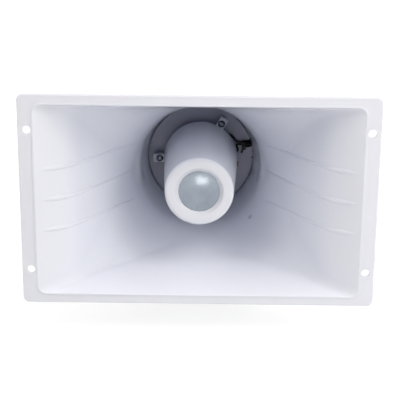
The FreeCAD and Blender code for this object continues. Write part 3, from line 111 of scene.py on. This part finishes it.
def moulded(name, pale, deep, gloss, peel_mm, grain_mm, depth_mm):
    """Injection-moulded plastic. Its tone drifts a little over a few centimetres, as the melt flowed, its
    gloss with it, and the skin has the slight waviness and the fine grain of the tool."""
    made, tree, shader, place = blank(name)
    drift = add(tree, "TexNoise", {"Vector": place}, Scale=1 / (45 * MM), Detail=2.0, Roughness=0.5)
    tone = add(tree, "Mix", {"Factor": drift.outputs["Fac"]},
               at={COLOUR_A: linear(pale), COLOUR_B: linear(deep)}, data_type="RGBA")
    tree.links.new(tone.outputs[COLOUR], shader.inputs["Base Color"])
    sheen = add(tree, "MapRange", {"Value": drift.outputs["Fac"]}, From_Min=0.3, From_Max=0.7,
                To_Min=gloss - 0.03, To_Max=gloss + 0.04)
    tree.links.new(sheen.outputs["Result"], shader.inputs["Roughness"])
    peel = add(tree, "TexNoise", {"Vector": place}, Scale=1 / (peel_mm * MM), Detail=1.0)
    grain = add(tree, "TexNoise", {"Vector": place}, Scale=1 / (grain_mm * MM), Detail=2.0)
    wavy = add(tree, "Bump", {"Height": peel.outputs["Fac"]}, Strength=0.5, Distance=depth_mm * MM)
    skin = add(tree, "Bump", {"Height": grain.outputs["Fac"], "Normal": wavy.outputs["Normal"]},
               Strength=0.35, Distance=depth_mm * MM * 0.5)
    tree.links.new(skin.outputs["Normal"], shader.inputs["Normal"])
    shader.inputs["IOR"].default_value = ABS_IOR
    return made


def glossy_white(name):
    """White ABS from a polished tool. The skin mirrors softly what stands round it, and a long slight
    waviness, left as the plastic shrank, bends the edges of those reflections. The flare melts into the
    round neck, and the shade in a push-out pin's shallow recess low in the throat is painted as a darker
    patch."""
    made, tree, shader, place = blank(name)
    flow = add(tree, "TexNoise", {"Vector": place}, Scale=1 / (80 * MM), Detail=1.0, Roughness=0.4)
    tone = add(tree, "Mix", {"Factor": flow.outputs["Fac"]},
               at={COLOUR_A: linear("#e8ecf8"), COLOUR_B: linear("#e5e9f5")}, data_type="RGBA")
    # Painted shade: a push-out pin's shallow recess is drawn as a darker round patch, not as a hollow
    reach = add(tree, "VectorMath", {0: place}, at={1: PIN_MARK}, operation="DISTANCE")
    pin_recess_shade_mask = add(tree, "MapRange", {"Value": reach.outputs["Value"]}, interpolation_type="SMOOTHSTEP",
               From_Min=2.8 * MM, From_Max=4.2 * MM, To_Min=1.0, To_Max=0.0)
    painted_pin_shade = add(tree, "Mix", {"Factor": pin_recess_shade_mask.outputs["Result"], COLOUR_A: tone.outputs[COLOUR]},
                 at={COLOUR_B: linear("#ccced9")}, data_type="RGBA")
    tree.links.new(painted_pin_shade.outputs[COLOUR], shader.inputs["Base Color"])
    sheen = add(tree, "MapRange", {"Value": flow.outputs["Fac"]}, From_Min=0.3, From_Max=0.7,
                To_Min=0.09, To_Max=0.14)
    tree.links.new(sheen.outputs["Result"], shader.inputs["Roughness"])
    # Near the throat the normals are rounded over 20 mm, so that the flare's end doesn't crease
    depth = add(tree, "SeparateXYZ", {0: place})
    from_throat = add(tree, "Math", {0: depth.outputs["Y"]}, at={1: THROAT_Y}, operation="SUBTRACT")
    either_side = add(tree, "Math", {0: from_throat.outputs[0]}, operation="ABSOLUTE")
    near = add(tree, "MapRange", {"Value": either_side.outputs[0]}, interpolation_type="SMOOTHSTEP",
               From_Min=14 * MM, From_Max=27 * MM, To_Min=1.0, To_Max=0.0)
    melted = add(tree, "Bevel", samples=16, Radius=20 * MM)
    plain = add(tree, "NewGeometry")
    blend = add(tree, "Mix", {"Factor": near.outputs["Result"], VECTOR_A: plain.outputs["Normal"],
                              VECTOR_B: melted.outputs["Normal"]}, data_type="VECTOR")
    waves = add(tree, "TexNoise", {"Vector": place}, Scale=1 / (22 * MM), Detail=1.0)
    grain = add(tree, "TexNoise", {"Vector": place}, Scale=1 / (1.5 * MM), Detail=1.0)
    wavy = add(tree, "Bump", {"Height": waves.outputs["Fac"], "Normal": blend.outputs[VECTOR]},
               Strength=0.6, Distance=0.1 * MM)
    skin = add(tree, "Bump", {"Height": grain.outputs["Fac"], "Normal": wavy.outputs["Normal"]},
               Strength=0.3, Distance=0.003 * MM)
    tree.links.new(skin.outputs["Normal"], shader.inputs["Normal"])
    shader.inputs["IOR"].default_value = ABS_IOR
    return made


def satin_white(name, centre):
    """White ABS from a blasted tool: a satin skin, and a front whose ring is gently crowned, as thick
    plastic sinks towards its edges when it cools, with a low rim round the badge."""
    made, tree, shader, place = blank(name)
    flow = add(tree, "TexNoise", {"Vector": place}, Scale=1 / (60 * MM), Detail=1.0, Roughness=0.4)
    tone = add(tree, "Mix", {"Factor": flow.outputs["Fac"]},
               at={COLOUR_A: linear("#e6eaf5"), COLOUR_B: linear("#e3e7f2")}, data_type="RGBA")
    tree.links.new(tone.outputs[COLOUR], shader.inputs["Base Color"])
    sheen = add(tree, "MapRange", {"Value": flow.outputs["Fac"]}, From_Min=0.3, From_Max=0.7,
                To_Min=0.2, To_Max=0.27)
    tree.links.new(sheen.outputs["Result"], shader.inputs["Roughness"])
    reach = from_axis(tree, place, centre)
    crowned = add(tree, "Bump", {"Height": crown(tree, reach, middle=28.5 * MM, slope=0.32)},
                  Strength=1.0, Distance=1.0)
    rim = add(tree, "MapRange", {"Value": reach}, From_Min=24.0 * MM, From_Max=25.8 * MM, To_Max=0.7 * MM)
    ring = add(tree, "Bump", {"Height": rim.outputs["Result"], "Normal": crowned.outputs["Normal"]},
               Strength=1.0, Distance=1.0)
    grain = add(tree, "TexNoise", {"Vector": place}, Scale=1 / (0.9 * MM), Detail=1.0)
    skin = add(tree, "Bump", {"Height": grain.outputs["Fac"], "Normal": ring.outputs["Normal"]},
               Strength=0.35, Distance=0.006 * MM)
    tree.links.new(skin.outputs["Normal"], shader.inputs["Normal"])
    shader.inputs["IOR"].default_value = ABS_IOR
    return made


def metal(name, pale, deep, rough, grain_mm, depth_mm, along=(1.0, 1.0, 1.0)):
    """Bare or plated metal with a fine grain, drawn out along one way if it was rolled or brushed."""
    made, tree, shader, place = blank(name)
    lay = add(tree, "Mapping", {"Vector": place}, Scale=along)
    grain = add(tree, "TexNoise", {"Vector": lay.outputs["Vector"]}, Scale=1 / (grain_mm * MM), Detail=3.0)
    cloud = add(tree, "TexNoise", {"Vector": place}, Scale=1 / (6 * MM), Detail=2.0)
    tone = add(tree, "Mix", {"Factor": cloud.outputs["Fac"]},
               at={COLOUR_A: linear(pale), COLOUR_B: linear(deep)}, data_type="RGBA")
    tree.links.new(tone.outputs[COLOUR], shader.inputs["Base Color"])
    sheen = add(tree, "MapRange", {"Value": grain.outputs["Fac"]}, To_Min=rough - 0.07, To_Max=rough + 0.09)
    tree.links.new(sheen.outputs["Result"], shader.inputs["Roughness"])
    skin = add(tree, "Bump", {"Height": grain.outputs["Fac"]}, Strength=0.5, Distance=depth_mm * MM)
    tree.links.new(skin.outputs["Normal"], shader.inputs["Normal"])
    shader.inputs["Metallic"].default_value = 1.0
    return made


def turned_aluminium(name, centre):
    """The bare badge disc: thin bright aluminium, pressed to a shallow dome, a little uneven, over fine
    turned rings. Real rings lie about 0.1 mm apart and are drawn at 0.35 mm to show."""
    made, tree, shader, place = blank(name)
    reach = from_axis(tree, place, centre)
    turns = add(tree, "Math", {0: reach}, at={1: math.tau / (0.35 * MM)}, operation="MULTIPLY")
    rings = add(tree, "Math", {0: turns.outputs[0]}, operation="SINE")
    cloud = add(tree, "TexNoise", {"Vector": place}, Scale=1 / (12 * MM), Detail=2.0)
    tone = add(tree, "Mix", {"Factor": cloud.outputs["Fac"]},
               at={COLOUR_A: linear("#9ba3ad"), COLOUR_B: linear("#87909c")}, data_type="RGBA")
    tree.links.new(tone.outputs[COLOUR], shader.inputs["Base Color"])
    sheen = add(tree, "MapRange", {"Value": rings.outputs[0]}, From_Min=-1.0, To_Min=0.12, To_Max=0.18)
    tree.links.new(sheen.outputs["Result"], shader.inputs["Roughness"])
    dome = add(tree, "Bump", {"Height": crown(tree, reach, middle=0.0, slope=0.06)},
               Strength=1.0, Distance=1.0)
    uneven = add(tree, "Bump", {"Height": cloud.outputs["Fac"], "Normal": dome.outputs["Normal"]},
                 Strength=0.5, Distance=0.25 * MM)
    skin = add(tree, "Bump", {"Height": rings.outputs[0], "Normal": uneven.outputs["Normal"]},
               Strength=0.2, Distance=0.0008 * MM)
    tree.links.new(skin.outputs["Normal"], shader.inputs["Normal"])
    shader.inputs["Metallic"].default_value = 1.0
    return made


def dull_black(name, pale, deep, rough):
    """Black plastic with a matting agent in it, as on wire and ties: it hardly mirrors anything."""
    made = moulded(name, pale, deep, rough, peel_mm=1.5, grain_mm=0.4, depth_mm=0.01)
    made.node_tree.nodes["Principled BSDF"].inputs["Specular IOR Level"].default_value = 0.22
    return made


def rubber(name, pale, deep):
    """Black EPDM sheet: dull, with a fine pebbled skin and a bloom in patches."""
    made = moulded(name, pale, deep, gloss=0.78, peel_mm=1.2, grain_mm=0.4, depth_mm=0.03)
    made.node_tree.nodes["Principled BSDF"].inputs["IOR"].default_value = 1.5
    return made


def laminate(name):
    """Brown phenolic paper laminate, with paper fibres lying along it."""
    made, tree, shader, place = blank(name)
    lay = add(tree, "Mapping", {"Vector": place}, Scale=(1.0, 6.0, 1.0))
    fibre = add(tree, "TexNoise", {"Vector": lay.outputs["Vector"]}, Scale=1 / (1.2 * MM), Detail=4.0)
    tone = add(tree, "Mix", {"Factor": fibre.outputs["Fac"]},
               at={COLOUR_A: linear("#6d5339"), COLOUR_B: linear("#4e3b29")}, data_type="RGBA")
    tree.links.new(tone.outputs[COLOUR], shader.inputs["Base Color"])
    skin = add(tree, "Bump", {"Height": fibre.outputs["Fac"]}, Strength=0.3, Distance=0.02 * MM)
    tree.links.new(skin.outputs["Normal"], shader.inputs["Normal"])
    shader.inputs["Roughness"].default_value = 0.42
    return made


def powder_coat(name, pale, deep):
    """Powder-coated steel: an even satin colour over the close orange peel that the baked powder leaves."""
    made, tree, shader, place = blank(name)
    peel = add(tree, "TexVoronoi", {"Vector": place}, feature="SMOOTH_F1", Scale=1 / (1.1 * MM),
               Smoothness=0.9)
    speck = add(tree, "TexNoise", {"Vector": place}, Scale=1 / (30 * MM), Detail=3.0)
    tone = add(tree, "Mix", {"Factor": speck.outputs["Fac"]},
               at={COLOUR_A: linear(pale), COLOUR_B: linear(deep)}, data_type="RGBA")
    tree.links.new(tone.outputs[COLOUR], shader.inputs["Base Color"])
    skin = add(tree, "Bump", {"Height": peel.outputs["Distance"]}, Strength=0.4, Distance=0.05 * MM)
    tree.links.new(skin.outputs["Normal"], shader.inputs["Normal"])
    shader.inputs["Roughness"].default_value = 0.44
    return made


def paint_pieces():
    """Every CAD piece gets the finish of what it is made of. The finish of the leads is given back."""
    badge_low, badge_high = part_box("bullet_badge")
    centre = [(a + b) / 2 for a, b in zip(badge_low, badge_high)]
    steel = metal("zinc_plated_steel", "#b9bec4", "#9ea4ad", 0.34, 0.5, 0.008)
    black_screw = metal("black_zinc_screw_steel", "#5d6067", "#43454b", 0.3, 0.4, 0.01)
    plain_screw = metal("zinc_plated_screw_steel", "#6c7076", "#54585e", 0.24, 0.4, 0.01)
    brass = metal("turned_brass", "#c9a45c", "#b08a45", 0.3, 0.5, 0.006)
    pole = metal("nickel_plated_pole_steel", "#a9abab", "#8f9192", 0.32, 0.6, 0.006)
    seal = rubber("black_epdm_rubber", "#1d1e20", "#151618")
    housing = moulded("grey_abs_fine_texture", "#a3a6ab", "#9b9ea4", 0.5, 2.4, 0.7, 0.03)
    nylon = moulded("grey_nylon", "#85888e", "#7a7d83", 0.42, 1.6, 0.5, 0.02)
    driver_black = moulded("black_glass_filled_nylon", "#232427", "#191a1c", 0.55, 1.4, 0.4, 0.02)
    wire = dull_black("black_pvc", "#131417", "#0d0e10", 0.5)
    drawn_out = (1.0, 9.0, 1.0)          # the windings' lay
    stacked = (1.0, 12.0, 1.0)           # the edges of the laminations
    finishes = {
        "bell": glossy_white("white_abs_gloss"),
        "bullet_shell": satin_white("white_abs_satin", centre),
        "neck_plate": moulded("grey_abs_spark_texture", "#999cb1", "#9396ab", 0.34, 1.6, 0.5, 0.02),
        "bullet_badge": turned_aluminium("turned_aluminium", centre),
        "tag_strip": laminate("phenolic_paper_laminate"),
        "rear_housing": housing,
        "mount_bracket": powder_coat("powder_coated_steel", "#cfd1d3", "#c8cacd"),
        "driver_magnet": metal("sintered_ferrite", "#4b4b4e", "#39393c", 0.62, 0.6, 0.02),
        "diaphragm_dome": moulded("polyester_film", "#c79a4b", "#b98c40", 0.25, 2.0, 0.8, 0.004),
        "diaphragm_surround": moulded("polyester_film_ring", "#c79a4b", "#b98c40", 0.25, 2.0, 0.8, 0.004),
        "voice_coil": metal("aluminium_wire_winding", "#c2a06a", "#a98750", 0.4, 0.3, 0.02, drawn_out),
        "transformer_core": metal("silicon_steel_laminations", "#6d6f72", "#55575b", 0.5, 0.5, 0.03, stacked),
        "transformer_coil": moulded("yellow_polyester_tape", "#d8b52f", "#cba824", 0.35, 3.0, 0.8, 0.02),
        "terminal_block": moulded("natural_nylon", "#dcd9c9", "#d2cfbe", 0.45, 1.8, 0.5, 0.02),
        "bullet_screws": plain_screw,
        "cable_tie": dull_black("black_nylon", "#17181a", "#101113", 0.45),
    }
    shared = (
        (nylon, ("gland_body", "gland_cap", "gland_nut")),
        (seal, ("plate_gasket", "driver_seal", "housing_gasket", "gland_seal", "friction_pads")),
        (black_screw, ("plate_screws", "driver_screws", "housing_screws", "transformer_screws")),
        (pole, ("driver_yoke", "driver_top_plate", "transformer_strap")),
        (driver_black, ("driver_clamp_ring", "throat_horn", "phase_plug")),
        (brass, ("driver_lugs", "terminal_screws", "pivot_inserts")),
        (steel, ("flat_washers", "spring_washers", "pivot_bolts")),
        (wire, ("lead_upper", "lead_lower", "lead_sleeve")),
    )
    for finish, names in shared:
        finishes.update((name, finish) for name in names)
    for name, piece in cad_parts.items():
        for place in piece.material_slots:
            place.material = finishes[name]
    return wire


# The leads, on the same points as their solids

LEAD_R = 1.2 * MM
SLEEVE_R = 2.6 * MM
UPPER_LEAD = [
    (0.0234, -0.0263, 0.1611), (0.0234, -0.0123, 0.1611), (0.0268, 0.0244, 0.1659), (0.0275, 0.0503, 0.1665),
    (0.0313, 0.0566, 0.1672), (0.0367, 0.0566, 0.1657), (0.0408, 0.0568, 0.1586), (0.0457, 0.0571, 0.1581),
]
LOWER_LEAD = [
    (0.0311, -0.0263, 0.1449), (0.0311, -0.0123, 0.1449), (0.0371, 0.0244, 0.1439), (0.0380, 0.0503, 0.1440),
    (0.0411, 0.0566, 0.1457), (0.0439, 0.0566, 0.1489), (0.0405, 0.0568, 0.1559), (0.0455, 0.0571, 0.1554),
]
SLEEVE = [
    (0.0456, 0.0571, 0.1568), (0.0566, 0.0577, 0.1557), (0.0566, 0.0767, 0.1557), (0.0470, 0.0907, 0.1420),
    (0.0300, 0.1158, 0.1250), (0.0240, 0.1237, 0.1160), (0.0160, 0.1237, 0.1160),
]
LEADS = (    # name, route, radius, the node that it stands for, length along the route
    ("lead_upper_wire", UPPER_LEAD, LEAD_R, "lead_upper", 0.102),
    ("lead_lower_wire", LOWER_LEAD, LEAD_R, "lead_lower", 0.0986),
    ("lead_sleeve_tube", SLEEVE, SLEEVE_R, "lead_sleeve", 0.104),
)


def wire_curve(name, route, radius, node, length, finish):
    """One lead or sleeve as a smooth curve with a round section, in place of its solid."""
    curve = bpy.data.curves.new(name, "CURVE")
    curve.dimensions = "3D"
    spline = curve.splines.new("NURBS")
    spline.points.add(len(route) - 1)
    for point, at in zip(spline.points, route):
        point.co = (*at, 1.0)
    spline.order_u = 3
    spline.use_endpoint_u = True
    curve.resolution_u = 12
    curve.bevel_depth = radius
    curve.bevel_resolution = 5
    curve.use_fill_caps = True
    curve.materials.append(finish)
    piece = bpy.data.objects.new(name, curve)
    bpy.context.scene.collection.objects.link(piece)
    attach(piece, "horn")
    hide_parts(node)


# The studio

FLOOR_RADIUS = 9.0
SHADE_NEAR, SHADE_FAR = 0.25, 1.6        # from where to where the floor's shadow fades out
HORN = (0.0, -0.05, AXIS_HEIGHT)         # what the lamps face
SOFTBOXES = (    # name, place, side, watts, tint
    ("key_softbox", (1.8, -0.75, 2.62), 2.0, 50.0, "#fff9ee"),
    ("left_softbox", (-1.8, -0.75, 2.62), 2.0, 33.0, "#fff8ea"),
    ("front_right_softbox", (1.8, -1.75, 2.06), 2.0, 28.8, "#fff9ed"),
    ("front_left_softbox", (-1.8, -1.75, 2.06), 2.0, 21.2, "#fdf9ef"),
    ("low_softbox", (1.2, -1.0, 0.4), 0.9, 4.8, "#fdf9f1"),
    ("back_softbox", (0.3, 1.2, 1.0), 1.0, 6.0, "#ffffff"),
)
CAMERA_AT = (0.0103, -1.19205, 0.4565)
CAMERA_YAW, CAMERA_PITCH, CAMERA_ROLL = -0.49, 16.48, 0.55      # degrees
LENS_MM, SENSOR_MM = 99.0, 36.0


def seen_directly(tree):
    """1 for rays that show the background itself: the camera's, and those in gloss and glass."""
    path = add(tree, "LightPath")
    first = add(tree, "Math", {0: path.outputs["Is Camera Ray"], 1: path.outputs["Is Glossy Ray"]},
                operation="MAXIMUM")
    both = add(tree, "Math", {0: first.outputs[0], 1: path.outputs["Is Transmission Ray"]},
               operation="MAXIMUM")
    return both.outputs[0]


def studio_air():
    """Even soft light from all round, and white wherever the background itself is seen."""
    world = bpy.data.worlds.new("studio_air")
    world.use_nodes = True
    tree = world.node_tree
    tree.nodes.clear()
    soft = add(tree, "Background", Color=linear("#a6b8ff"), Strength=0.074)
    white = add(tree, "Background", Color=linear("#ffffff"), Strength=1.0)
    both = add(tree, "MixShader", {0: seen_directly(tree), 1: soft.outputs[0], 2: white.outputs[0]})
    add(tree, "OutputWorld", {"Surface": both.outputs[0]})
    bpy.context.scene.world = world


def floor_finish():
    """Pale matt board. It is seen as white, with the object's soft shadow on it near the object."""
    made = bpy.data.materials.new("pale_floor_board")
    made.use_nodes = True
    tree = made.node_tree
    tree.nodes.clear()
    board = add(tree, "BsdfDiffuse", Color=linear("#e9e9e9"))
    shade = add(tree, "BsdfDiffuse", Color=linear("#8c8c8c"))
    place = add(tree, "TexCoord").outputs["Object"]
    reach = add(tree, "VectorMath", {0: place}, operation="LENGTH")
    strength = add(tree, "MapRange", {"Value": reach.outputs["Value"]}, interpolation_type="SMOOTHSTEP",
                   From_Min=SHADE_NEAR, From_Max=SHADE_FAR, To_Min=0.84, To_Max=1.0)
    glow = add(tree, "Emission", {"Strength": strength.outputs["Result"]}, Color=linear("#ffffff"))
    bright = add(tree, "AddShader", {0: shade.outputs[0], 1: glow.outputs[0]})
    both = add(tree, "MixShader", {0: seen_directly(tree), 1: board.outputs[0], 2: bright.outputs[0]})
    add(tree, "OutputMaterial", {"Surface": both.outputs[0]})
    return made


def lay_floor():
    """A wide round floor, level with the underside of the bracket."""
    bpy.ops.object.select_all(action="DESELECT")
    bpy.ops.mesh.primitive_circle_add(vertices=96, radius=FLOOR_RADIUS, fill_type="NGON", location=(0, 0, 0))
    floor = bpy.context.object
    floor.name = "studio_floor"
    floor.data.materials.append(floor_finish())


def hang_lamp(name, at, aim, width, height, power, tint, mirrored):
    """A rectangular lamp that faces the point it is aimed at. One that isn't mirrored lets gloss show the
    white surroundings in its place, so that it doesn't burn out the white plastic."""
    lamp = bpy.data.lights.new(name, "AREA")
    lamp.shape = "RECTANGLE"
    lamp.size, lamp.size_y = width, height
    lamp.energy = power
    lamp.color = linear(tint)[:3]
    placed = bpy.data.objects.new(name, lamp)
    bpy.context.scene.collection.objects.link(placed)
    placed.location = at
    placed.rotation_euler = (Vector(aim) - Vector(at)).to_track_quat("-Z", "Y").to_euler()
    placed.visible_camera = False
    placed.visible_glossy = mirrored


def light_studio():
    """Soft light from large lamps overhead and high in front on both sides, with a weaker one low on the
    right, a faint one behind, and a small card in front that the badge mirrors."""
    for name, at, side, power, tint in SOFTBOXES:
        hang_lamp(name, at, HORN, side, side, power, tint, mirrored=False)
    hang_lamp("front_card", (0.012, -0.5, 0.1), (0.0, -0.09, 0.155), 0.07, 0.045, 0.021, "#fff6ec",
              mirrored=True)


def set_camera():
    """The camera where the photographer's stood: a little above, nearly straight in front."""
    yaw, pitch, roll = (math.radians(turn) for turn in (CAMERA_YAW, CAMERA_PITCH, CAMERA_ROLL))
    forward = Vector((math.sin(yaw) * math.cos(pitch), math.cos(yaw) * math.cos(pitch), -math.sin(pitch)))
    level = Vector((math.cos(yaw), -math.sin(yaw), 0.0))
    upright = level.cross(forward)
    right = math.cos(roll) * level + math.sin(roll) * upright
    up = math.cos(roll) * upright - math.sin(roll) * level
    lens = bpy.data.cameras.new("photo_camera")
    lens.lens, lens.sensor_width = LENS_MM, SENSOR_MM
    lens.clip_start, lens.clip_end = 0.01, 50.0
    camera = bpy.data.objects.new("photo_camera", lens)
    bpy.context.scene.collection.objects.link(camera)
    camera.matrix_world = Matrix.Translation(CAMERA_AT) @ Matrix((right, up, -forward)).transposed().to_4x4()
    bpy.context.scene.camera = camera


def main():
    bpy.context.scene.view_settings.view_transform = "Standard"
    set_camera()
    wire = paint_pieces()
    for lead in LEADS:
        wire_curve(*lead, wire)
    studio_air()
    lay_floor()
    light_studio()


main()
